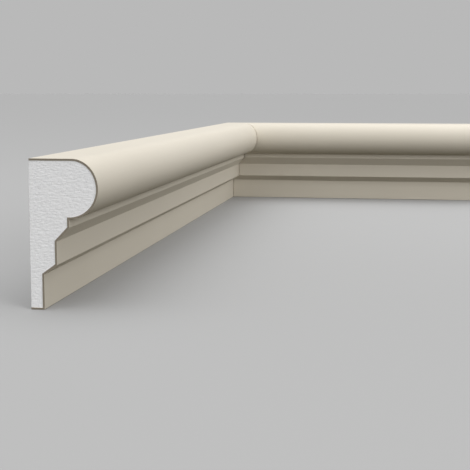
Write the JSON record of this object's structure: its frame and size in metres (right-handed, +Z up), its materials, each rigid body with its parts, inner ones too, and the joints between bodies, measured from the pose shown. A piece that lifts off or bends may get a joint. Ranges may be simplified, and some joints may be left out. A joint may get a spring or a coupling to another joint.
{
  "type": "panel moulding inside corner",
  "caption": "Coated rigid foam panel moulding with a half-round top over stepped flat bands, mitred round an inside corner and cut square at both far ends.",
  "frame": {"origin": "middle of the bounding box, at the moulding's underside", "axes": "+Z up; +Y along the left length, from its square cut to the corner, whose back faces -X; +X along the right length, from the corner to its square cut, whose back faces +Y"},
  "size_m": [0.25, 0.55, 0.07],
  "materials": {
    "cream_coat": "satin cream coat, smooth, slightly soft at its edges",
    "white_foam": "fine closed cells, matt, bare where the moulding is sawn and at its back"
  },
  "bodies": {
    "root": {"left_length": "cream_coat", "right_length": "cream_coat"}
  },
  "joints": []
}
